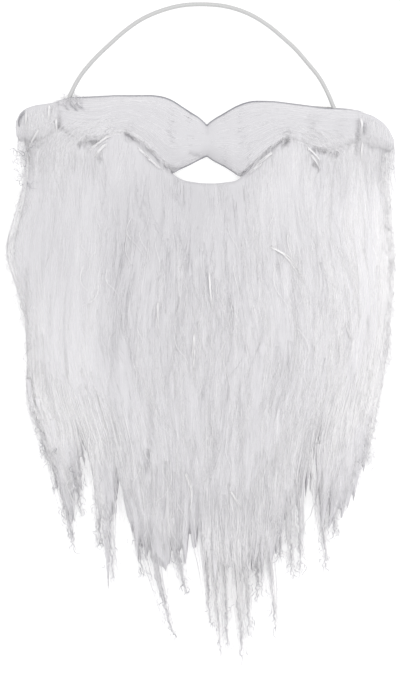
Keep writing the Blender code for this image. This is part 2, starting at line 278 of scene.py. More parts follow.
def raise_by(tree, shader, value, strength, distance):
    """Raise the surface by a value: distance millimetres at 1, times the strength."""
    settings = {"Strength": strength, "Distance": distance * MM}
    bump = add_node(tree, "ShaderNodeBump", {"Height": value}, **settings)
    tree.links.new(bump.outputs["Normal"], shader.inputs["Normal"])


# %% Wig fibre
SKIN_GRAIN = 0.15


def wig_fibre(name, deep, middle, light, grain=0.0):
    """Modacrylic wig hair, coloured by the attribute tone: deep at 0, light at 1.

    With a grain, noise along the attribute flow adds up to the grain to the tone, and raises
    fine ridges.
    """
    material, tree, shader = new_material(name, Roughness=0.65, Specular_IOR_Level=0.2)
    tone = add_node(tree, "ShaderNodeAttribute", attribute_name="tone").outputs["Fac"]
    if grain:
        flow = add_node(tree, "ShaderNodeAttribute", attribute_name="flow").outputs["Vector"]
        noise = add_node(tree, "ShaderNodeTexNoise", {"Vector": flow}, Scale=1.0, Detail=4.0)
        links = {0: noise.outputs["Fac"], 1: grain, 2: tone}
        tone = add_node(tree, "ShaderNodeMath", links, operation="MULTIPLY_ADD").outputs[0]
        raise_by(tree, shader, noise.outputs["Fac"], 0.2, 0.3)
    colour_by(tree, shader, tone, deep, light, middle)
    return material


# The deep end of each ramp serves mostly painted shade: the creases, the moustache's edge and
# the darkest strays.
FIBRE_COLOURS = ("#94949A", "#DDDCDF", "#F5F4F5")
SKIN_COLOURS = ("#8A8A90", "#C0BFC2", "#D6D5D8")
FIBRES = {
    "hair": wig_fibre("modacrylic_hair", *FIBRE_COLOURS),
    "moustache": wig_fibre("modacrylic_moustache", *FIBRE_COLOURS),
}
SKINS = {
    "hair": wig_fibre("modacrylic_under_hair", *SKIN_COLOURS, SKIN_GRAIN),
    "moustache": wig_fibre("modacrylic_moustache_roll", *SKIN_COLOURS, SKIN_GRAIN),
}
print("fibre materials:", len(FIBRES) + len(SKINS))

# %% [markdown]
# ## The elastic
#
# A round hat elastic is a rubber core in a knitted cover, 2.8 mm thick. It comes out under the
# moustache near both of its ends and lies on the table in a loop. The cover's threads run
# round it in two directions, so its pattern is drawn on the tube's own angle and length. The
# attribute ring keeps the angle as its cosine and sine, so that the pattern has no seam. The
# real threads are 0.3 mm wide and are drawn 0.9 mm wide here.

# %% Elastic route
ELASTIC_DIAMETER = 2.8
ELASTIC_ROUTE = table(
    "x y z",
    (-87, 180, 3.2), (-85.2, 185.3, 3.2), (-79, 198, 1.9), (-69.8, 209.7, 1.5),
    (-59, 220.2, 1.45), (-48.8, 229.2, 1.45), (-38.3, 236.5, 1.45), (-26, 242, 1.45),
    (-12.7, 245.5, 1.45), (2.6, 246.4, 1.45), (18, 244.8, 1.45), (33, 239.6, 1.45),
    (44.5, 232.6, 1.45), (54, 224.8, 1.45), (62, 217.5, 1.45), (69.4, 209, 1.5),
    (78, 198.2, 1.9), (84.2, 186.2, 3.2), (87.8, 177.2, 3.2),
)


def evenly_spaced(route, spacing):
    """Points a given distance apart on the smooth curve through the route's own points.

    Each coordinate is a smooth curve over the distance from the start along the route.
    """
    points = np.column_stack(list(route.values()))
    steps = np.linalg.norm(np.diff(points, axis=0), axis=1)
    along = np.concatenate(([0], np.cumsum(steps)))
    fine = np.linspace(0, along[-1], 2000)
    line = np.column_stack([curve(fine, along, axis) for axis in points.T])
    steps = np.linalg.norm(np.diff(line, axis=0), axis=1)
    run = np.concatenate(([0], np.cumsum(steps)))
    places = np.linspace(0, run[-1], round(run[-1] / spacing) + 1)
    return np.column_stack([np.interp(places, run, axis) for axis in line.T]), run[-1]


ELASTIC_STEP = 0.8
elastic_line, elastic_length = evenly_spaced(ELASTIC_ROUTE, ELASTIC_STEP)
print("elastic length in mm:", round(elastic_length, 1))

# %% Elastic cover
ELASTIC_SIDES = 14
COVER_THREAD = 0.9
THREADS_ROUND = 3

elastic_material, tree, shader = new_material("knitted_elastic_cover", Roughness=0.8)
ring = add_node(tree, "ShaderNodeAttribute", attribute_name="ring").outputs["Vector"]
parts = add_node(tree, "ShaderNodeSeparateXYZ", {0: ring}).outputs
angle = add_node(tree, "ShaderNodeMath", {0: parts["Y"], 1: parts["X"]}, operation="ARCTAN2")
threads = {}
for place, turns in enumerate((THREADS_ROUND, -THREADS_ROUND)):
    links = {0: angle.outputs[0], 1: turns, 2: parts["Z"]}
    total = add_node(tree, "ShaderNodeMath", links, operation="MULTIPLY_ADD").outputs[0]
    threads[place] = add_node(tree, "ShaderNodeMath", {0: total}, operation="SINE").outputs[0]
cross = add_node(tree, "ShaderNodeMath", threads, operation="MULTIPLY").outputs[0]
colour_by(tree, shader, cross, "#C4C4C4", "#A8A8A8")
raise_by(tree, shader, cross, 0.5, 0.2)

radii = np.full((1, len(elastic_line)), ELASTIC_DIAMETER / 2)
points, faces = tubes(elastic_line[None], radii, ELASTIC_SIDES)
around = np.arange(ELASTIC_SIDES) * 2 * np.pi / ELASTIC_SIDES
runs = np.arange(len(elastic_line))[:, None] * ELASTIC_STEP * np.pi / COVER_THREAD
places = np.stack(np.broadcast_arrays(np.cos(around), np.sin(around), runs), axis=-1)
elastic = piece_from("elastic", points, faces, elastic_material, "elastic_cover", ring=places)
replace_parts(elastic, "elastic_cord")

# %% [markdown]
# ## The backing cloth
#
# The hair is sewn to a cloth that shows only from behind: a white warp knit, 1.5 mm thick with
# its stitching, with a V at the top and a hole for the mouth. Its skin runs from the edge of
# the hole to the outer edge, so a grid of angle by distance covers it with no seam, and the
# last column joins the first. The knit has ribs 1.6 mm apart and a stitch every 1.2 mm.

# %% Cloth outline
CLOTH_THICKNESS = 1.5
CLOTH_TOP = 1.8
CLOTH_EDGE = table(
    "x y",
    (-111.5, 172), (-88, 182.5), (-45, 185), (-22, 183.5), (4.5, 166), (33, 182), (66, 180),
    (98, 177), (119, 168), (118.5, 140), (119.5, 90), (117, 45), (110, 8), (82, -26), (0, -42),
    (-80, -26), (-103, 8), (-108, 45), (-114.5, 90), (-111.5, 140),
)
MOUTH_EDGE = table(
    "x y",
    (-20, 135), (-7, 143), (4.5, 148.5), (16, 142), (27.8, 132.8), (16, 129.2), (5, 128.2),
    (-8, 129.6),
)
MOUTH_MIDDLE = np.array((4.0, 137.0))


def ring_of(edge, count):
    """A closed outline as count points, one for each equal step of angle about the mouth.

    The distance from the middle is a smooth curve over the angle of the outline's rows, read
    over three turns so that the curve joins itself.
    """
    rows = np.column_stack((edge["x"], edge["y"])) - MOUTH_MIDDLE
    angle = np.arctan2(rows[:, 1], rows[:, 0])
    order = np.argsort(angle)
    angle, far = angle[order], np.hypot(*rows[order].T)
    angles = np.concatenate((angle - 2 * np.pi, angle, angle + 2 * np.pi))
    steps = np.linspace(-np.pi, np.pi, count, endpoint=False)
    distance = curve(steps, angles, np.tile(far, 3))
    return MOUTH_MIDDLE + distance[:, None] * np.column_stack((np.cos(steps), np.sin(steps)))


CLOTH_COLUMNS = 200
share = np.linspace(0, 1, 16)[:, None, None]
inner, outer = (ring_of(edge, CLOTH_COLUMNS) for edge in (MOUTH_EDGE, CLOTH_EDGE))
plan = inner * (1 - share) + outer * share
level = np.ones((*plan.shape[:2], 1))
cloth_points, cloth_faces = skin(
    np.concatenate((plan, level * CLOTH_THICKNESS), axis=2),
    np.concatenate((plan, level * 0.02), axis=2),
    wrap=True,
)


# %% Warp knit
RIB = 1.6
STITCH = 1.2

cloth_material, tree, shader = new_material("polyester_warp_knit", Roughness=0.9)
place = add_node(tree, "ShaderNodeTexCoord").outputs["Object"]
waves = {}
for number, (direction, length) in enumerate((("X", RIB), ("Y", STITCH))):
    # A wave texture of scale 1 has a wave every 2 pi / 20 metres.
    scale = 2 * np.pi / 20 / (length * MM)
    settings = {"bands_direction": direction, "Scale": scale, "Distortion": 0.6}
    wave = add_node(tree, "ShaderNodeTexWave", {"Vector": place}, **settings)
    waves[number] = wave.outputs["Fac"]
knit = add_node(tree, "ShaderNodeMath", waves, operation="MULTIPLY").outputs[0]
colour_by(tree, shader, knit, "#C4C3C0", "#EDECE9")
raise_by(tree, shader, knit, 0.7, 0.3)

backing = piece_from("backing", cloth_points, cloth_faces, cloth_material, "backing_cloth")
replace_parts(backing, "backing_cloth")

# %% Sewn tacks
for name in ("elastic_tack_left", "elastic_tack_right"):
    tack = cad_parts[name]
    tack.data.materials.clear()
    tack.data.materials.append(cloth_material)

# %% [markdown]
# ## The form of the hair
#
# The hair falls from the moustache and from the mouth's lower edge to separate locks, fuller
# in the middle than at its sides. A place in it is given by two numbers: its share across,
# from the left edge to the right edge, and its height y. The mass is 17 mm high a third of the
# way down and thins out to a few millimetres where the locks part. At its top it is as high as
# the moustache that it comes out of, except along the mouth, where it starts low.

# %% Outline and height of the hair
HAIR_RIM = 2.0
HAIR_LEFT, HAIR_RIGHT = -113, 121
# Random waves take the whole share across as this many millimetres.
SHARE_MM = 240
FAN = 11.0
SIDES = table(
    "down left right inner_left inner_right",
    (-165, -115, 123, -114, 122),
    (-154, -115, 122.5, -114, 122),
    (-142, -115, 122, -114, 121.5),
    (-131, -116.5, 122.5, -115, 122),
    (-120, -118.5, 124, -116, 123.5),
    (-103, -123, 125, -117, 124.5),
    (-86, -127, 127, -117.5, 125),
    (-62, -121, 126, -117, 125),
    (-47, -116, 125, -116, 124.5),
    (-25, -113, 123, -113, 122.5),
    (-3, -112, 119, -112, 119),
    (16, -109, 116, -109, 116),
    (30, -105, 113.5, -105, 113.5),
    (44, -101, 112, -101, 112),
    (58, -97, 110, -97, 110),
    (70, -93.5, 108, -93.5, 108),
    (83, -90, 106, -90, 106),
    (110, -84, 100, -84, 100),
)
HAIR_TOP = table(
    "across y over height",
    (0.00, 158, 2, 6), (0.07, 159, 6, 9), (0.10, 164, 7, 10), (0.14, 162, 7, 10.5),
    (0.19, 160, 6, 10.5), (0.25, 163, 5, 10), (0.29, 164, 1, 9.5), (0.32, 160, 0, 9.5),
    (0.36, 152, 0, 9), (0.39, 142, 0, 8.5), (0.41, 135.6, 0, 7), (0.43, 132.6, 0, 5.5),
    (0.47, 130.4, 0, 4.5), (0.51, 129.7, 0, 4.5), (0.55, 130.3, 0, 4.5), (0.59, 132.6, 0, 5.5),
    (0.61, 137, 0, 7), (0.655, 149, 0, 9), (0.69, 156, 0, 9.5), (0.72, 160, 1, 9.5),
    (0.75, 160, 5, 10), (0.82, 155, 6, 10.5), (0.87, 159, 7, 10.5), (0.91, 160, 7, 10),
    (0.94, 153, 6, 9), (1.00, 151, 2, 6),
)
HAIR_PARTS = table(
    "x y",
    (-110, -14), (-104.4, -30), (-99, -48), (-93, -66), (-88, -82), (-84.6, -92),
    (-80, -84), (-76, -70), (-71.5, -59), (-67, -74), (-63, -98), (-58, -100), (-54, -90),
    (-50.7, -79), (-47, -94), (-42, -112), (-36, -119), (-28, -127), (-22, -128), (-17, -123),
    (-10, -120), (-5, -112), (-2, -111), (2, -126), (5, -130), (10, -138), (16, -132),
    (22, -134), (26, -140), (30, -131), (35, -131), (41, -127), (46, -126), (50, -120),
    (53, -106), (57, -93), (61, -83), (64, -76), (67, -80), (70, -70), (72, -57), (75, -78),
    (79, -97), (83, -99), (88, -96), (94, -90), (100, -78), (106, -64), (110, -48), (114, -30),
)
HAIR_HEIGHT = table(
    "along height",
    (0.00, 9), (0.06, 11.5), (0.16, 14.5), (0.35, 17), (0.60, 15.5), (0.80, 12.5), (1.00, 8),
    (1.25, 4.5), (1.60, 2.5),
)


def smooth_step(value):
    """0 below 0, 1 above 1, and 3v^2 - 2v^3 between."""
    value = np.clip(value, 0, 1)
    return value * value * (3 - 2 * value)


def quarter(value):
    """The height of a quarter circle of radius 1: 0 at 0, 1 from 1 on."""
    return np.sqrt(1 - (1 - np.clip(value, 0, 1)) ** 2)


def edge_shift(across, y):
    """How far the hair at a share across lies to the side of its straight fall, at height y.

    Each edge's distance from its straight line fades as (1 - 2 * share from the edge) ^ 1.5.
    The bulge of an edge beyond its inner line fades with the square over an eighth. The middle
    fans out below the mouth, by FAN * sin(2 pi (across - 1/2)) * exp(-((y - 25) / 50)^2).
    """
    lines = {key: read(SIDES, key, -y) for key in list(SIDES)[1:]}
    shift = FAN * np.sin(2 * np.pi * (across - 0.5)) * np.exp(-(((y - 25) / 50) ** 2))
    sides = (("left", HAIR_LEFT, across), ("right", HAIR_RIGHT, 1 - across))
    for side, straight, share in sides:
        inner = lines["inner_" + side]
        shift = shift + (inner - straight) * np.clip(1 - share * 2, 0, 1) ** 1.5
        shift = shift + (lines[side] - inner) * np.clip(1 - share * 8, 0, 1) ** 2
    return shift


def hair_x(across, y):
    """x = left + share across * (right - left) + the shift of the edges."""
    return HAIR_LEFT + (HAIR_RIGHT - HAIR_LEFT) * across + edge_shift(across, y)


def hair_across(x, y):
    """The share across at a point, from 0 to 1: hair_x turned round by 13 halvings."""
    across, step = 0.5 + 0 * (x + y), 0.25
    for _ in range(13):
        across = across + step * np.sign(x - hair_x(across, y))
        step = step / 2
    return across


HAIR_PARTS = {"across": hair_across(HAIR_PARTS["x"], HAIR_PARTS["y"]), **HAIR_PARTS}
assert (np.diff(HAIR_PARTS["across"]) > 0).all(), "the rows must run from left to right"
print("shares at which the hair parts:", HAIR_PARTS["across"].round(3))


# %% [markdown]
# ## Creases
#
# Moustache, tufts and hair are one soft surface, because the hair of each runs into the next.
# It is broken only where hair is pressed down: along the outer edge of the two lobes over the
# mouth, at two short slots further out, where the tufts begin, and at the notch in the middle.
# A table lists these creases as straight pieces with a width and a depth.

# %% Creases
CREASES = table(
    "x0 y0 x1 y1 width depth",
    (-48, 160.4, -43.5, 157.8, 1.4, 3.6),
    (-43.5, 157.8, -38.5, 155, 0.9, 2.3),
    (-38.5, 155, -31.5, 148.6, 0.8, 2.1),
    (-31.5, 148.6, -24.5, 141.4, 0.8, 2),
    (-24.5, 141.4, -18.6, 136.2, 0.8, 2.1),
    (-41, 152.2, -34, 146, 0.8, 0.9),
    (57, 156.6, 53, 154.8, 1.4, 3.6),
    (53, 154.8, 45.5, 151, 0.9, 2.3),
    (45.5, 151, 36.5, 142.8, 0.8, 2),
    (36.5, 142.8, 26.8, 134.6, 0.8, 2.1),
    (-78, 154.3, -67, 156.3, 1.4, 2.4),
    (-74, 158.6, -67, 158.8, 1.3, 0.7),
    (-66.6, 146.8, -64.8, 144.4, 1, 1.4),
    (74, 151.4, 82, 149.6, 1.3, 2.4),
    (82, 149.6, 89, 147.4, 1, 1.4),
    (73.6, 142.4, 76.8, 138, 1, 1.6),
    (-91, 175, -91.8, 165.5, 1.3, 0.6),
    (-95.8, 179, -97, 171.5, 1.2, 0.5),
    (-99, 157, -105.5, 153.2, 0.9, 0.3),
    (102.6, 169, 102.2, 160, 1.5, 0.8),
    (102.2, 158, 101.4, 147, 1.5, 0.8),
    (108, 170, 106.5, 162, 1.1, 0.5),
    (4.6, 168.5, 4.4, 160.5, 0.7, 0.8),
    (-33.4, -45, -34.6, -57, 1.7, 1),
    (-6.5, 148.5, 3, 146.5, 0.9, 1.2),
)


def crease_depth(x, y):
    """The deepest crease at a point: the most that depth * exp(-(distance / width)^2) gives.

    The distance is the one to the nearest point of the crease's straight piece.
    """
    deepest = 0 * (x + y)
    for x0, y0, x1, y1, width, depth in zip(*CREASES.values()):
        dx, dy = x1 - x0, y1 - y0
        share = np.clip(((x - x0) * dx + (y - y0) * dy) / (dx * dx + dy * dy), 0, 1)
        distance = np.hypot(x - x0 - share * dx, y - y0 - share * dy)
        deepest = np.maximum(deepest, depth * np.exp(-((distance / width) ** 2)))
    return deepest


def fall_line(across):
    """The height y at which the hair has thinned out: -88 - 60 * sin(pi * across)^1.5."""
    return -88 - 60 * np.sin(np.pi * np.clip(across, 0, 1)) ** 1.5


def hair_height(across, y):
    """The height of the hair: its rim, plus the dome, plus low ridges, less the creases.

    The dome goes from the height at the roots to the curve along the hair, and rounds off as
    a quarter circle over the outer quarter of both sides.
    """
    top, roots = (read(HAIR_TOP, key, across) for key in ("y", "height"))
    along = (top - y) / (top - fall_line(across))
    height = read(HAIR_HEIGHT, "height", along)
    height = roots + (height - roots) * smooth_step(along / 0.14)
    dome = (height - HAIR_RIM) * quarter(np.minimum(across, 1 - across) / 0.25)
    x = hair_x(across, y)
    ridges = 0.25 * drift(x, y * 0.05, 5, 4) + 0.7 * drift(x, y * 0.12, 19, 5)
    return HAIR_RIM + dome + ridges * smooth_step(along / 0.1) - crease_depth(x, y)


# %% [markdown]
# ## The form of the moustache and the tufts
#
# The moustache is hair combed sideways from the middle. It has two lobes that hang over the
# corners of the mouth. At both ends its hair turns down in a short thick tuft with soft upright
# ridges. All three are bands that follow a table of upper edge, lower edge and height. The
# lower edge has a share, merge, of the height of the hair below it: 1 where the two run into
# each other, and 0 along the mouth, where the band is round down to the cloth.

# %% Bands and the surface that shows
MOUSTACHE = table(
    "x top bottom height merge",
    (-92, 183.5, 166, 9, 1),
    (-86, 185.5, 160, 9.5, 1),
    (-75, 186, 156, 10, 1),
    (-64, 186.5, 156.5, 10.5, 1),
    (-55, 187, 160.5, 10.4, 1),
    (-47, 187, 159.6, 10.6, 1),
    (-39, 187, 155, 10.8, 1),
    (-31, 187, 148, 10.8, 0.95),
    (-24, 186, 141.2, 10.8, 0.9),
    (-18.5, 184, 136.2, 10.8, 0.5),
    (-13, 180.5, 138.5, 11.5, 0),
    (-7, 176.5, 141.2, 11, 0),
    (0, 172, 144.8, 10.5, 0),
    (3, 169.2, 146.2, 10, 0),
    (4.5, 167.8, 146.8, 10, 0),
    (6, 169.2, 145.8, 10, 0),
    (9, 171.4, 143.8, 10.5, 0),
    (16, 175.5, 140.2, 11, 0),
    (21, 178.5, 137, 11.5, 0),
    (26.2, 181, 133.9, 10.8, 0.5),
    (33, 183, 139.6, 10.8, 0.9),
    (41, 183.3, 146.8, 10.8, 0.95),
    (49, 183, 153, 10.8, 1),
    (57, 182, 157, 10.5, 1),
    (65, 181, 155, 10.5, 1),
    (73, 180, 152, 10, 1),
    (81, 179, 149.5, 10, 1),
    (91, 178.5, 151, 9.5, 1),
    (98, 178, 154, 9.5, 1),
    (103, 177, 158, 9, 1),
)
TUFTS = {
    "left": table(
        "x top bottom height merge",
        (-120, 170, 161, 3.5, 0.6),
        (-117.5, 175, 157, 6, 0.8),
        (-114, 178, 157, 7, 1),
        (-110.5, 179.5, 156, 8.4, 1),
        (-107, 180.5, 156, 8.2, 1),
        (-103.5, 181, 157, 9, 1),
        (-100, 181.5, 159, 8.8, 1),
        (-97, 182, 161, 9.3, 1),
        (-94.5, 182.5, 163, 9, 1),
        (-92.4, 183, 165, 9, 1),
    ),
    "right": table(
        "x top bottom height merge",
        (103.4, 177, 157, 9, 1),
        (105.5, 176, 155, 9.2, 1),
        (108.5, 175, 154, 8.8, 1),
        (111.5, 174, 152, 9.1, 1),
        (114.5, 172.5, 151.5, 8.6, 1),
        (117.5, 170.5, 150.5, 8.3, 1),
        (120.5, 168, 150, 7.4, 1),
        (123.5, 164, 150, 6.4, 0.8),
        (126.5, 158, 152, 4, 0.6),
    ),
}
BANDS = (MOUSTACHE, TUFTS["left"], TUFTS["right"])
ROOT_REACH = 8.0


def edges(band, x):
    """The height y of the band's lower and upper edge at x."""
    return [read(band, key, x) for key in ("bottom", "top")]


def band_height(band, x, y):
    """The height of a band: (foot + (height - foot) * rise) * fall, less the creases.

    rise and fall are quarter circles over the lower and the upper two fifths of its width, but
    where the band merges with the hair, rise is the smooth step. The foot is the merge share
    of the height of the hair at the lower edge.
    """
    bottom, top = edges(band, x)
    height, merge = (read(band, key, x) for key in ("height", "merge"))
    share = np.clip((y - bottom) / (top - bottom), 0, 1)
    hair = hair_height(hair_across(x, bottom), bottom) + crease_depth(x, bottom)
    foot = merge * (hair - CLOTH_TOP)
    rise = merge * smooth_step(share / 0.42) + (1 - merge) * quarter(share / 0.42)
    arch = (foot + (height - foot) * rise) * quarter((1 - share) / 0.4)
    relief = 0.35 * drift(x * 0.5, y, 15, 31) * arch / 10 * smooth_step(share / 0.4)
    return np.maximum(CLOTH_TOP + arch + relief - crease_depth(x, y), CLOTH_TOP)


def top_at(x, y):
    """The height of the surface that shows: the highest of the hair and the three bands."""
    across = hair_across(x, y)
    root = read(HAIR_TOP, "y", across)
    z = np.where(y < root + ROOT_REACH, hair_height(across, y), 0.6)
    for band in BANDS:
        bottom, top = edges(band, x)
        inside = (x >= band["x"][0]) & (x <= band["x"][-1]) & (y >= bottom) & (y <= top)
        z = np.where(inside, np.maximum(z, band_height(band, x, y)), z)
    return z


HAIR_TONE = 0.68
LOWEST_TONE = 0.4
# Painted shade in the creases: the tone drops this much for each millimetre of crease depth.
PAINTED_CREASE_SHADE = 0.14
# Soft patches of lightness. They are partly the hair's own uneven tone and partly painted light
# and shade: the right side is painted lighter where it faces the lamp, and the hair left of the
# middle and below the left lobe is painted darker.
TONE_LIGHT_AND_SHADE_PATCHES = table(
    "x y wide high amount",
    (-30, 60, 38, 90, -0.16),
    (-20, -60, 34, 50, -0.10),
    (-95, 100, 26, 60, -0.14),
    (-90, 30, 22, 40, 0.08),
    (-108, 172, 14, 12, 0.2),
    (108, 90, 22, 70, 0.34),
    (98, -15, 24, 60, 0.16),
    (-105, -20, 7, 45, 0.2),
    (113, -30, 6, 45, 0.25),
    (122, 90, 6, 60, 0.12),
    (45, 40, 40, 70, 0.02),
    (15, 60, 26, 60, -0.08),
    (19, -136, 20, 24, 0.34),
    (20, 110, 40, 18, -0.06),
    (45, -75, 45, 35, -0.06),
    (-55, 60, 8, 75, -0.16),
    (-26, 112, 30, 24, -0.3),
    (-19, 96, 20, 20, -0.14),
    (55, 3, 9, 14, -0.16),
    (-78, -22, 26, 34, 0.24),
)


def calm_at(x, y):
    """How flat the hair is combed, from 0 to 1: 1 left of x = -72, and 0.7 below the mouth."""
    left = smooth_step((-42 - x) / 30) * smooth_step((y + 60) / 50)
    return np.maximum(left, 0.7 * smooth_step((y - 70) / 45))


def tone_at(x, y):
    """The hair's lightness: its tone, plus a soft round patch for each row, less the creases.

    Soft strokes of 7 mm by 45 mm come on top of that, and short ones of 3.5 mm by 14 mm where
    the hair is less flat. Only the painted shade of a crease goes below the lowest tone.
    """
    total = HAIR_TONE + 0.06 * drift(x, y * 0.15, 7, 57)
    total = total + 0.09 * (1 - calm_at(x, y)) * drift(x + 0.1 * y, y * 0.25, 3.5, 58)
    for px, py, wide, high, amount in zip(*TONE_LIGHT_AND_SHADE_PATCHES.values()):
        total = total + amount * np.exp(-(((x - px) / wide) ** 2) - ((y - py) / high) ** 2)
    # The crease depth taken off here is painted shade in the creases.
    return np.maximum(total, LOWEST_TONE) - PAINTED_CREASE_SHADE * crease_depth(x, y)


print("the surface has hair, a moustache, 2 tufts and", len(CREASES["x0"]), "creases")

# %% [markdown]
# ## The soft surface
#
# No single fibre can be seen deep in the hair: it is a dense mat of crossing fibres that lets
# no light through. So the mat, the moustache and the tufts are closed skins first, half a
# millimetre under the surface that shows, and the strands that do show are laid half sunk in
# them afterwards. The mat ends raggedly, about 8 mm above the line where the locks part. The
# skins' streaks come from noise along an attribute, flow, that holds the place across and
# along the hair in streaks, 2.2 mm wide and 34 mm long.

# %% Under-hair
MAT_ACROSS = 200
MAT_ALONG = 100
STREAK_WIDTH = 2.2
STREAK_LENGTH = 34.0
UNDER = 0.5
MAT_MARGIN = 8.0


def flow_of(across, along):
    """The place in streaks: millimetres across the hair and along it, by the streak's size."""
    across, along = np.broadcast_arrays(across / STREAK_WIDTH, along / STREAK_LENGTH)
    return np.stack((across, along, 0 * along), axis=-1)


def closed_surface(name, x, y, z, flow, tone, bottom, kind):
    """The closed skin between a grid of points and the same grid at the height bottom."""
    x, y, z, bottom, tone = np.broadcast_arrays(x, y, z, bottom, tone)
    top = np.stack((x, y, np.maximum(z, bottom + 0.1)), -1)
    points, faces = skin(top, np.stack((x, y, bottom), -1))
    flow = np.tile(flow.reshape(-1, 3), (2, 1))
    tone = np.tile(np.clip(tone, 0, 1).ravel() - SKIN_GRAIN / 2, 2)
    return piece_from(name, points, faces, SKINS[kind], f"{kind}_fibre", flow=flow, tone=tone)


across = np.linspace(0.015, 0.985, MAT_ACROSS)[None, :]
along = np.linspace(0.0, 1.0, MAT_ALONG)[:, None]
over = read(HAIR_TOP, "over", across)
top_y = read(HAIR_TOP, "y", across) - 0.4 + 1.5 * over
parts_y = read(HAIR_PARTS, "y", across)
spots = across * SHARE_MM
ragged = MAT_MARGIN + 6 * drift(spots, 0 * spots, 7, 3) + 6 * drift(spots, 0 * spots, 2.8, 4)
y = top_y + (parts_y + ragged - top_y) * along
x = hair_x(across, y)
mat_bottom = 0.4 + (CLOTH_TOP - 0.3) * smooth_step((y + 50) / 12)
z = mat_bottom + (hair_height(across, y) - UNDER - mat_bottom) * (1 - along**60)
flow = flow_of(across * (HAIR_RIGHT - HAIR_LEFT), y)
# Painted light: the mat is made lighter over the last 7 per cent towards its ragged lower end,
# against the shade under the strands there.
tone = tone_at(x, y) + 0.35 * smooth_step((along - 0.93) / 0.07)
under_hair = closed_surface("under_hair", x, y, z, flow, tone, mat_bottom, "hair")
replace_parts(under_hair, "beard_hair")

# %% Moustache and tufts
BAND_TONE = 0.56
# Painted shade along the band's upper edge: how dark it is and its width in millimetres.
PAINTED_EDGE_SHADE = 0.66
PAINTED_EDGE_SHADE_WIDTH = 2.3
TUCK = 4.0


def band_tone(band, x, y):
    """The lightness of a band, which is dark along its upper edge and in the creases.

    Both darkenings are painted shade. The dark edge stands for the roll curving away from the
    light. It is strongest at the notch and weakest on the tufts. A fainter one follows the
    lower edge along the mouth. Where the band merges with the hair, it takes on its lightness.
    """
    bottom, top = edges(band, x)
    merge = read(band, "merge", x)
    inward = np.where(merge < 0.5, np.minimum(top - y, y - bottom + 0.8), top - y)
    # The mask of painted shade along the band's edge.
    edge = smooth_step((PAINTED_EDGE_SHADE_WIDTH - inward) / 1.6)
    edge = edge * (0.33 + 0.37 * smooth_step((x + 94) / 14) * smooth_step((104 - x) / 14))
    edge = edge * (1 + 0.45 * np.exp(-(((x - 4.5) / 34) ** 2)))
    joined = merge * smooth_step(1 - (y - bottom) / 9)
    own = BAND_TONE - PAINTED_EDGE_SHADE * edge - PAINTED_CREASE_SHADE * crease_depth(x, y)
    return own * (1 - joined) + tone_at(x, y) * joined


def band_skin(name, band, tucks, columns, rows, upright):
    """The closed skin of a band. Its streaks run along x, or along y if upright.

    It goes on for the tucks beyond both ends of the table, under its neighbours. Where it
    merges with the hair, its lower edge dips under the hair's skin, so that no step shows.
    """
    x = np.linspace(band["x"][0] - tucks[0], band["x"][-1] + tucks[1], columns)[None, :]
    share = (1 - np.cos(np.linspace(0, np.pi, rows)))[:, None] / 2
    bottom, top = edges(band, x)
    y = bottom + (top - bottom) * share
    dip = 0.6 * read(band, "merge", x) * smooth_step(1 - share / 0.1)
    z = band_height(band, x, y) - UNDER - dip
    flow = flow_of(x, y) if upright else flow_of(share * 32, x)
    tone = band_tone(band, x, y)
    return closed_surface(name, x, y, z, flow, tone, CLOTH_TOP + 0.1, "moustache")


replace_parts(band_skin("moustache_roll", MOUSTACHE, (0, 0), 200, 34, False), "moustache")
for side, tucks in (("left", (0, TUCK)), ("right", (TUCK, 0))):
    tuft = band_skin(f"tuft_{side}", TUFTS[side], tucks, 50, 22, True)
    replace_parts(tuft, f"side_tuft_{side}")

# %% [markdown]
# ## Strands over the hair
#
# Loose hair gathers in clumps: strands that start near each other share one path. So a layer of
# hair is made as clumps first. Each clump falls from its root along the surface, and its
# strands keep a small distance of their own from it. The layers end at different heights above
# the ragged edge where the locks part. The surface locks are short strokes that lie a little
# higher and lean to the middle. A real fibre is 0.08 mm thick. It is drawn nearly three times
# as thick, so that a few thousand strands do the work of a million.

# %% A layer of hair
STRAND_POINTS = 12
STRAND_SIDES = 3
STRAND_RADIUS = 0.11


def strand_piece(name, x, y, z, radius, tone, kind="hair"):
    """Hair from arrays with a row for each strand. It gets thinner towards its tip.

    The radius at a share s of the length is radius * (1 - 0.75 * s^2.2).
    """
    share = np.linspace(0, 1, x.shape[-1])
    paths = np.stack(np.broadcast_arrays(x, y, z), axis=-1)
    radii = np.broadcast_to(radius * (1 - 0.75 * share**2.2), x.shape)
    points, faces = tubes(paths, radii, STRAND_SIDES)
    tones = np.repeat(np.clip(np.broadcast_to(tone, x.shape), 0, 1), STRAND_SIDES, axis=1)
    return piece_from(name, points, faces, FIBRES[kind], f"{kind}_fibre", tone=tones)


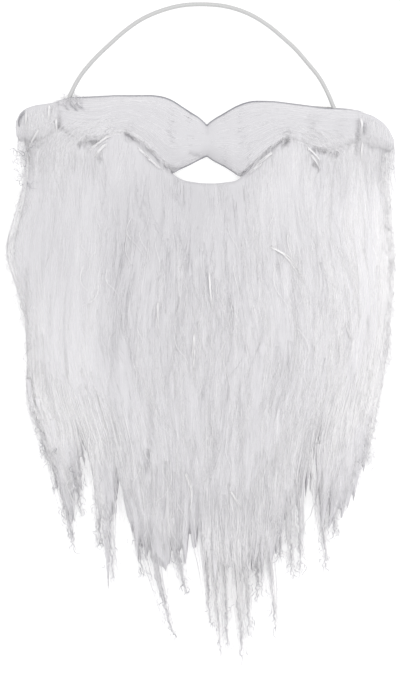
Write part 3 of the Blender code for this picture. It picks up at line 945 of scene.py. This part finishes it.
def hair_layer(
    name, clump_across, strands, root, length, spread,
    sway=0.6, patchy=0.05, points=STRAND_POINTS, lift=0.12, gather=0,
):
    """One layer of hair: clumps of strands that start within spread millimetres of each other.

    root is a range of shares of the way from the top to where the hair parts, and length a
    range in millimetres. Each clump leans by about the sway, and by gather to the middle. It
    waves as it falls, and its lightness differs by about patchy. Strands stand up to lift
    millimetres out of the surface. Where the hair is combed flat, they are thinner, stand out
    less and differ less in lightness.
    """
    clumps = len(clump_across)
    count = clumps * strands
    clump = np.repeat(np.arange(clumps), strands)
    across = clump_across[clump] + rng.normal(0, spread / SHARE_MM, count)
    across = np.clip(across, 0.003, 0.997)[:, None]
    lean = rng.normal(0, sway, clumps)[clump][:, None] + rng.normal(0, 0.2, (count, 1))
    lean = lean + gather * (0.5 - across)
    lean = lean * np.clip(np.minimum(across, 1 - across) / 0.12, 0, 1)
    top_y = read(HAIR_TOP, "y", across) - 0.3
    over = read(HAIR_TOP, "over", across)
    end_y = read(HAIR_PARTS, "y", across)
    root_y = top_y + (end_y - top_y) * rng.uniform(*root, clumps)[clump][:, None]
    root_y = root_y + rng.normal(0, 5, (count, 1))
    root_y = np.minimum(root_y, top_y + over * rng.uniform(-1, 1, (count, 1)))
    tip_y = root_y - (rng.uniform(*length, clumps)[clump] + rng.normal(0, 7, count))[:, None]
    tip_y = np.maximum(tip_y, end_y + 26 * rng.random((count, 1)) ** 2 - 2)
    tip_y = np.minimum(tip_y, root_y - 10)

    share = np.linspace(0, 1, points)
    y = root_y + (tip_y - root_y) * share
    fallen = (root_y - y) / 10
    x = hair_x(across, y)
    x = x + 1.5 * drift(0 * y + across * SHARE_MM, y, 60, 11) * smooth_step(fallen / 4)
    x = x + lean * fallen * smooth_step(fallen / 3)
    waves = rng.uniform((0.3, 0.6, 0), (1.6, 1.6, 6.3), (clumps, 3))[clump]
    size, rate, phase = waves.T[..., None]
    x = x + size * np.sin(rate * fallen + phase) * (0.15 + 0.85 * share)
    size, rate, phase = rng.uniform((0.1, 0.9, 0), (1.0, 2.2, 6.3), (count, 3)).T[..., None]
    x = x + size * np.sin(rate * fallen + phase) * share

    loose = 1 - 0.75 * calm_at(x, y)
    z = top_at(x, y) - UNDER + rng.uniform(-0.05, lift, (count, 1)) * loose
    tone = np.clip(patchy * rng.normal(size=clumps), -0.2, 0.4)[clump][:, None]
    tone = tone_at(x, y) + (tone + 0.025 * rng.normal(size=(count, 1))) * loose
    radius = STRAND_RADIUS * rng.uniform(0.7, 1.3, (count, 1)) * (0.4 + 0.6 * loose)
    return strand_piece(name, x, y, z, radius, tone)


hair_layer("long_under_locks", rng.uniform(0, 1, 56), 9, (0.35, 0.7), (100, 200), 2.8)
hair_layer("middle_locks", rng.uniform(0, 1, 60), 9, (0.15, 0.5), (80, 170), 3.0)
hair_layer("upper_locks", rng.uniform(0, 1, 64), 9, (0.02, 0.3), (60, 150), 3.2)
hair_layer("crown_locks", rng.uniform(0, 1, 96), 8, (0.0, 0.03), (25, 100), 3.8, lift=0.05)
surface_shares = rng.uniform(0.03, 0.97, 380)
settings = {"sway": 1.7, "patchy": 0.16, "points": 8, "lift": 0.25, "gather": 3}
hair_layer("surface_locks", surface_shares, 9, (0.06, 0.88), (14, 34), 0.9, **settings)
side_shares = np.concatenate((rng.uniform(0, 0.05, 30), rng.uniform(0.95, 1, 30)))
hair_layer("side_locks", side_shares, 7, (0.0, 0.5), (50, 130), 1.6)

# %% [markdown]
# ## The separate locks
#
# At its lower edge the beard parts into locks of uneven length, which draw together to thin
# tips. The hair is crimped there and its cut ends stand apart. Each row of the table gives a
# lock's middle line and its width, read from the beard's ragged lower edge. A lock is dense in
# its middle, so it is a flat uneven tube with strands over and around it.

# %% Locks
LOCKS = table(
    "root_x root_y bend_x bend_y tip_x tip_y width",
    (-109, -10, -105, -30, -99, -50, 10),
    (-102, -22, -97, -48, -92, -74, 10),
    (-93, -36, -88, -78, -81, -113, 13),
    (-83, -36, -80, -64, -78, -90, 9),
    (-66, -50, -65, -82, -66, -110, 8),
    (-61, -50, -60, -92, -55.5, -133, 10),
    (-45, -60, -41, -98, -36.5, -132, 7),
    (-34, -84, -26, -134, -16, -170, 13),
    (-17, -100, -12, -124, -8, -142, 10),
    (3, -108, 5, -136, 7, -162, 8),
    (8, -108, 11, -146, 13.5, -180, 8),
    (15, -114, 17, -146, 18.5, -176, 8),
    (23, -114, 26, -152, 27.5, -190, 9),
    (30, -114, 31, -142, 32.5, -171, 8),
    (35, -104, 37, -124, 37, -144, 9),
    (41, -98, 47, -136, 49, -168, 7),
    (48, -76, 51, -98, 52, -120, 10),
    (56, -66, 58, -96, 60, -131, 7),
    (63, -68, 65, -96, 65.5, -126, 6),
    (77, -52, 80, -92, 82.5, -126, 9),
    (86, -48, 87, -74, 88, -104, 10),
    (95, -38, 94, -62, 92, -88, 10),
    (103, -28, 102, -50, 100, -74, 9),
    (110, -14, 109, -34, 107, -56, 8),
)


def lock_x(lock, y):
    """The middle line of a lock: the parabola through its root, bend and tip."""
    x0, x1, x2 = (LOCKS[key][lock] for key in ("root_x", "bend_x", "tip_x"))
    y0, y1, y2 = (LOCKS[key][lock] for key in ("root_y", "bend_y", "tip_y"))
    y = np.clip(y, y2 - 10, y0 + 30)
    first = x0 * (y - y1) * (y - y2) / ((y0 - y1) * (y0 - y2))
    second = x1 * (y - y0) * (y - y2) / ((y1 - y0) * (y1 - y2))
    return first + second + x2 * (y - y0) * (y - y1) / ((y2 - y0) * (y2 - y1))


def lock_bundles(name, strands, points, radius):
    """Strands that come out of the mass and draw together along each lock.

    x = free path + (lock's line + own offset * taper - free path) * turn. Three fifths of a
    strand's points lie in its last 36 mm, which is crimped: a sine wave that grows downwards.
    """
    lock = np.repeat(np.arange(len(LOCKS["tip_y"])), strands)
    count = len(lock)
    root, tip, root_x = (LOCKS[key][lock][:, None] for key in ("root_y", "tip_y", "root_x"))
    start = root + rng.uniform(8, 50, (count, 1))
    stop = tip + (root - tip) * 0.85 * rng.random((count, 1)) ** 1.6
    smooth = points * 2 // 5
    last = np.minimum(36, (start - stop) / 2)
    upper = start + (stop + last - start) * np.linspace(0, 1, smooth + 1)[:-1]
    y = np.concatenate((upper, stop + last * np.linspace(1, 0, points - smooth)), axis=1)

    offset = np.clip(rng.normal(0, 0.42, (count, 1)), -0.8, 0.8) * LOCKS["width"][lock][:, None]
    free_x = hair_x(hair_across(root_x + offset * 1.5, root), y)
    taper = 1 - 0.66 * smooth_step((root + 10 - y) / (root + 10 - tip))
    turn = smooth_step((root + 25 - y) / 40)
    x = free_x + (lock_x(lock[:, None], y) + offset * taper - free_x) * turn
    size, wave, phase = rng.uniform((0.5, 4.0, 0), (2.1, 7.0, 6.3), (count, 3)).T[..., None]
    late = smooth_step(1 - (y - stop) / 34)
    crimp = size * np.sin(2 * np.pi * y / wave + phase) * late
    x = x + crimp + rng.normal(0, 1.7, (count, 1)) * late

    sunk = smooth_step((root + 5 - y) / (root + 5 - tip))
    low = rng.uniform(0.7, 3.2, (count, 1))
    z = (top_at(x, y) - UNDER + rng.uniform(0.0, 0.4, (count, 1))) * (1 - sunk) + low * sunk
    z = np.maximum(z + 0.4 * crimp * (1 - late), 0.45)
    tone = tone_at(x, y) + (0.07 + 0.16 * sunk) * rng.normal(size=(count, 1))
    radii = radius * rng.uniform(0.7, 1.3, (count, 1))
    return strand_piece(name, x, y, z, radii, tone)


lock_bundles("parted_locks", 54, 25, 0.15)

# %% Dense middles of the locks
CORE_FLATNESS = 0.3


def lock_cores(name, steps=46, sides=10):
    """The dense middle of each lock, as a flat tube that narrows to the lock's tip.

    Its half width is 0.32 * width * (1 - 0.92 * share^0.8) times an uneven factor about 1. The
    rings of round tubes are pressed flat: z is multiplied by the flatness.
    """
    width, root, tip = (LOCKS[key][:, None] for key in ("width", "root_y", "tip_y"))
    share = np.linspace(0, 1, steps)
    y = root + 12 + (tip + 5 - root - 12) * share
    late = smooth_step(share / 0.4)
    uneven = 0.22 * drift(width * 9 + root, y, 7, 71) + 0.3 * drift(root, y, 2.6, 73)
    half = 0.32 * width * (1 - 0.92 * share**0.8) * (1 + uneven * late)
    x = lock_x(np.arange(len(root))[:, None], y)
    x = x + (0.8 * drift(root + width * 7, y, 9, 72) + 0.45 * drift(root, y, 3.4, 74)) * late
    sunk = smooth_step(share / 0.8)
    level = (top_at(x, y) - UNDER) * (1 - sunk) + 2.2 * sunk - half * CORE_FLATNESS
    z = np.maximum(level, 0.1 + half * CORE_FLATNESS)
    points, faces = tubes(np.stack((x, y, z / CORE_FLATNESS), -1), half, sides)
    x, y = points[:, 0], points[:, 1]
    points[:, 2] *= CORE_FLATNESS
    tone = np.clip(tone_at(x, y), 0, 1) - SKIN_GRAIN / 2
    flow = flow_of(x * 2, y * 2)
    return piece_from(name, points, faces, SKINS["hair"], "hair_fibre", flow=flow, tone=tone)


lock_cores("lock_middles")

# %% [markdown]
# ## Strands of the moustache
#
# The moustache's strands run outwards from the middle, each at a constant share of the band's
# width, so that they follow the curves of both edges. Near its ends they turn down over the
# lower edge into the beard, and those of the tufts fall straight down.

# %% Combed strands
MIDDLE_X = 4.5
COMBED_RADIUS = 0.09


def combed_strands(name, count, side):
    """Strands combed outwards from the middle of the moustache on one side, -1 or 1."""
    reach = MOUSTACHE["x"][-1] - MIDDLE_X if side > 0 else MIDDLE_X - MOUSTACHE["x"][0]
    share = np.linspace(0, 1, STRAND_POINTS)
    start = rng.uniform(0.02, 0.85, (count, 1)) * reach
    stop = start + rng.uniform(22, 70, (count, 1))
    stop = np.minimum(stop, reach + rng.uniform(-4, 5, (count, 1)))
    x = MIDDLE_X + side * (start + (stop - start) * share)
    lane = rng.uniform(0.01, 0.99, (count, 1)) * np.pi
    lane = lane + 0.14 * rng.normal(size=(count, 1)) * share
    lane = lane + 0.08 * drift(x, lane * 30, 38, 41)
    lane = (1 - np.cos(np.clip(lane, 0.02, np.pi - 0.02))) / 2
    bottom, top = edges(MOUSTACHE, x)
    y = bottom + (top - bottom) * lane
    z = top_at(x, y) - UNDER + rng.uniform(-0.11, 0.03, (count, 1))
    tone = band_tone(MOUSTACHE, x, y) + 0.03 * rng.normal(size=(count, 1))
    radius = COMBED_RADIUS * rng.uniform(0.7, 1.3, (count, 1))
    return strand_piece(name, x, y, z, radius, tone, "moustache")


combed_strands("combed_strands_left", 600, -1)
combed_strands("combed_strands_right", 600, 1)

# %% Strands that bend
DOWN = -np.pi / 2
CROSSED_DEPTH = 1.6


def drawn(rule, count):
    """Random numbers by a rule. A pair (low, high) spreads them evenly, and a single number
    spreads them about 0 by the normal curve. An array is kept as it is.
    """
    if isinstance(rule, tuple):
        return rng.uniform(*rule, count)
    return rng.normal(0, rule, count) if np.isscalar(rule) else rule


def walk(x, y, heading, length, swing):
    """The points of strands that start at (x, y) and take equal steps along the heading.

    The heading of each strand also swings that many radians, by a sine wave of its own, which
    runs through 4 to 11 radians over the length.
    """
    share = np.linspace(0, 1, STRAND_POINTS)
    rate, phase = rng.uniform((4, 0), (11, 6.3), (len(x), 2)).T[..., None]
    way = heading + swing * np.sin(share * rate + phase)
    step = (length / (STRAND_POINTS - 1))[:, None]
    px = x[:, None] + np.cumsum(np.cos(way) * step, axis=1)
    py = y[:, None] + np.cumsum(np.sin(way) * step, axis=1)
    return px, py


def bent_strands(name, x, y, heading, turn, length, tone, patchy):
    """Strands that start at (x, y) and change their heading by turn over their first part.

    They lie on the surface that shows, and those that cross a crease are left out. turn and
    length are rules for drawn.
    """
    turn, length, lift = (drawn(rule, len(x)) for rule in (turn, length, (-0.05, 0.15)))
    tone = tone + patchy * rng.normal(size=len(x))
    share = np.linspace(0, 1, STRAND_POINTS)
    way = heading[:, None] + turn[:, None] * smooth_step(share / 0.6)
    px, py = walk(x, y, way, length, 0.15)
    kept = crease_depth(px, py).max(axis=1) < CROSSED_DEPTH
    px, py = px[kept], py[kept]
    z = top_at(px, py) - UNDER + lift[kept][:, None]
    radius = STRAND_RADIUS * rng.uniform(0.7, 1.3, (kept.sum(), 1))
    return strand_piece(name, px, py, z, radius, tone[kept][:, None], "moustache")


for side, outward, reach in (("left", -1, (-92, -52)), ("right", 1, (60, 103))):
    count = 320
    x = rng.uniform(*reach, count)
    bottom, top = edges(MOUSTACHE, x)
    lean = rng.uniform(0.1, 0.6, count)
    y = bottom + (top - bottom) * rng.uniform(0.0, 0.5, count)
    heading = (outward < 0) * np.pi - outward * lean
    turn = rng.normal(0, 0.15, count) - outward * (np.pi / 2 - lean)
    bent_strands(f"turning_strands_{side}", x, y, heading, turn, (20, 55), 0.62, 0.03)

    count = 300
    x = rng.uniform(TUFTS[side]["x"][0] + 1, TUFTS[side]["x"][-1], count)
    bottom, top = edges(TUFTS[side], x)
    y = top - 1 - rng.uniform(0.0, 0.8, count) ** 2 * 20
    heading = DOWN + drawn(0.1, count)
    bent_strands(f"tuft_strands_{side}", x, y, heading, 0.12, (10, 36), 0.6, 0.04)

# %% [markdown]
# ## Stray hair
#
# A combed beard always has strands that leave their clump. Some lie across the hair in long
# bows, some stand off at the sides, and the cut ends at the bottom curl. They are few, but
# without them the outline looks cut out.

# %% Strays over the hair


def strays(
    name, x, y, heading, length, bow, z, radius,
    tone=0.75, swing=0.35, uneven=0.12, painted_shade_off_hair=0,
):
    """Thin bent strands. Each starts at (x, y) and turns by bow radians over its length.

    The strand lies z millimetres over the surface that shows. Its lightness is the tone, which
    differs by about uneven, and on the table it is lower than on the hair by the given amount:
    painted shade on the white fibre. heading, length, bow and z are rules for drawn.
    """
    rules = (heading, length, bow, z)
    heading, length, bow, z = (drawn(rule, len(x)) for rule in rules)
    share = np.linspace(0, 1, STRAND_POINTS)
    way = heading[:, None] + bow[:, None] * (share - 0.3)
    px, py = walk(x, y, way, length, swing)
    inside = py > read(HAIR_PARTS, "y", hair_across(px, py)) + MAT_MARGIN
    ground = np.where(inside, top_at(px, py) - UNDER, 0.5)
    height = np.maximum(ground + z[:, None] + 0.3 * np.sin(share * 5), 0.5)
    radii = radius * rng.uniform(0.6, 1.2, (len(x), 1))
    # Strands off the hair, on the table, stay darker: painted shade on white fibre.
    tone = tone + uneven * rng.normal(size=(len(x), 1)) + painted_shade_off_hair * inside
    return strand_piece(name, px, py, height, radii, tone)


count = 90
across = rng.uniform(0.12, 0.9, count)
y = rng.uniform(-90, 120, count)
heading = DOWN + drawn(0.2, count)
strays("bowed_strays", hair_x(across, y), y, heading, (18, 45), 0.7, (0.6, 1.1), 0.2)

# %% Frizz at the sides
count = 520
side = rng.integers(0, 2, count)
outward = np.where(side == 0, -1, 1)
across = np.where(side == 0, rng.uniform(0.0, 0.02, count), rng.uniform(0.98, 1.0, count))
y = rng.uniform(-50, 152, count)
heading = DOWN + outward * rng.uniform(-0.05, 0.45, count)
length = rng.uniform(6, 20, count)
bow = -outward * rng.uniform(-0.2, 1.1, count)
# The low tone of the side frizz is painted shade on white fibre.
looks = {"tone": 0.55, "swing": 0.9, "painted_shade_off_hair": 0.25}
strays("side_frizz", hair_x(across, y), y, heading, length, bow, (0, 0.8), 0.15, **looks)

# %% Curled ends of the locks
count = 800
lock = abs(rng.integers(-4, len(LOCKS["tip_x"]), count))
back = 5 + 32 * rng.random(count) ** 1.2
y = LOCKS["tip_y"][lock] + back
x = lock_x(lock, y) + rng.normal(0, 1, count) * (0.8 + back * 0.08)
heading = DOWN + drawn(0.4, count)
# The low tone of the curled ends is painted shade on white fibre.
looks = {"tone": 0.4, "swing": 0.8, "uneven": 0.3, "painted_shade_off_hair": 0.25}
strays("frizzy_ends", x, y, heading, (4, 10), 0.9, (0.3, 2), 0.17, **looks)

# %% Frizz under the tufts
count = 90
on_left = rng.integers(0, 5, count) < 4
x = np.where(on_left, rng.uniform(-122, -110, count), rng.uniform(119, 125, count))
y = rng.uniform(128, 154, count)
# The low tone of the frizz under the tufts is painted shade on white fibre.
looks = {"tone": 0.4, "swing": 0.9, "uneven": 0.25}
strays("tuft_frizz", x, y, (0, 6.3), (4, 11), 2.0, (0.3, 2), 0.16, **looks)

# %% Fuzz at the elastic's root
count = 60
x = rng.uniform(-90, -78, count)
y = rng.uniform(178, 185, count)
# The fuzz's low tone, 0.5, is painted shade where the elastic goes under the hair.
strays("root_fuzz", x, y, (0.6, 2.6), (3, 8), 1.2, (0.1, 0.8), 0.14, tone=0.5, swing=0.6)

# %% Wisps
# The wisps with a tone of 0.1 to 0.3, at the elastic's root and at the ends of the tufts, are
# painted shade lines on white fibre.
WISPS = table(
    "x y degrees length bow tone",
    (42.9, 88.4, -35, 36, -0.9, 1),
    (6.5, 71.5, -88, 22, 0.2, 1),
    (-3.3, 33.8, -92, 29, 0.1, 1),
    (-26.7, 53.3, -92, 23, 0.3, 0.95),
    (-10.5, -57.2, -72, 23, -0.8, 1),
    (19.5, -70.2, -57, 12, 0.1, 1),
    (72.2, -57.2, -90, 14, 0, 1),
    (94, 38, -70, 12, 0.1, 1),
    (-57.2, 160.6, -148, 19, 0.4, 1),
    (-60, 155, -140, 12, 0.5, 1),
    (-41, 152.2, -40, 15, -0.1, 0.85),
    (-34.5, 146, -40, 12, -0.1, 0.8),
    (48, 149.6, -144, 15, 0.1, 0.85),
    (41, 143.4, -142, 13, 0.1, 0.8),
    (69.5, 151.8, -42, 12, -0.4, 1),
    (71.5, 148, -50, 11, -0.5, 1),
    (105.4, 156.5, -92, 12, 0, 1),
    (-104, 164.5, -125, 14, 0.3, 1),
    (-117.5, 165, 82, 11, -1, 0.1),
    (-113, 176, -92, 12, 0.3, 1),
    (-88.4, 181.4, -62, 6, 0.2, 0.28),
    (-84.2, 181.8, -52, 7, 0.2, 0.28),
    (-80, 181.4, -48, 6, 0.3, 0.3),
    (-97.5, 180, -95, 9, 0.2, 1),
    (-93.4, 172, -88, 9, 0.1, 1),
    (104.6, 171.5, -84, 9, -0.2, 1),
    (106.8, 168, -95, 8, 0.3, 0.2),
)
WISP_STRANDS = 7

columns = (np.repeat(column, WISP_STRANDS) for column in WISPS.values())
x, y, degrees, length, bow, tone = columns
x = x + rng.normal(0, 0.3, len(x))
y = y + rng.normal(0, 0.5, len(x))
length = length * rng.uniform(0.8, 1.1, len(x))
looks = {"tone": tone[:, None], "swing": 0.08}
strays("wisps", x, y, np.radians(degrees), length, bow, (0.5, 0.9), 0.25, **looks)

# %% [markdown]
# ## Table and light
#
# The beard lies on a plain white table under soft light from all round, with a large lamp on
# the upper right that makes the left sides of the locks a little darker. The table gives off
# some light of its own, so that it comes out white, as in a product picture.

# %% Floor
floor_material, tree, shader = new_material("white_table", Roughness=0.9)
shader.inputs["Base Color"].default_value = linear("#BCBCBC")
shader.inputs["Emission Color"].default_value = (1, 1, 1, 1)
shader.inputs["Emission Strength"].default_value = 0.6
floor_mesh = bpy.data.meshes.new("floor")
floor_mesh.from_pydata([(-6, -6, 0), (6, -6, 0), (6, 6, 0), (-6, 6, 0)], [], [(0, 1, 2, 3)])
floor_mesh.materials.append(floor_material)
floor = bpy.data.objects.new("floor", floor_mesh)
floor.location.z = -0.0002
bpy.context.scene.collection.objects.link(floor)

# %% Lights
world = bpy.data.worlds.new("studio")
bpy.context.scene.world = world
world.use_nodes = True
world.node_tree.nodes["Background"].inputs["Color"].default_value = (1, 1, 1, 1)
world.node_tree.nodes["Background"].inputs["Strength"].default_value = 1.2


def soft_lamp(name, place, size, power):
    """A square area light that looks at the middle of the beard."""
    lamp = bpy.data.lights.new(name, "AREA")
    lamp.size = size
    lamp.energy = power
    holder = bpy.data.objects.new(name, lamp)
    holder.location = place
    distance = math.hypot(place[0], place[1])
    holder.rotation_euler = (math.atan2(distance, place[2]), 0, math.atan2(place[0], -place[1]))
    bpy.context.scene.collection.objects.link(holder)
    return holder


soft_lamp("key_lamp", (0.9, 0.8, 1.3), 0.9, 4.5)
bpy.context.scene.view_settings.view_transform = "Standard"
print("lamps:", len(bpy.data.lights))

# %% Sizes
print("triangles in all:", sum(triangles.values()), "and at most", max(triangles.values()))
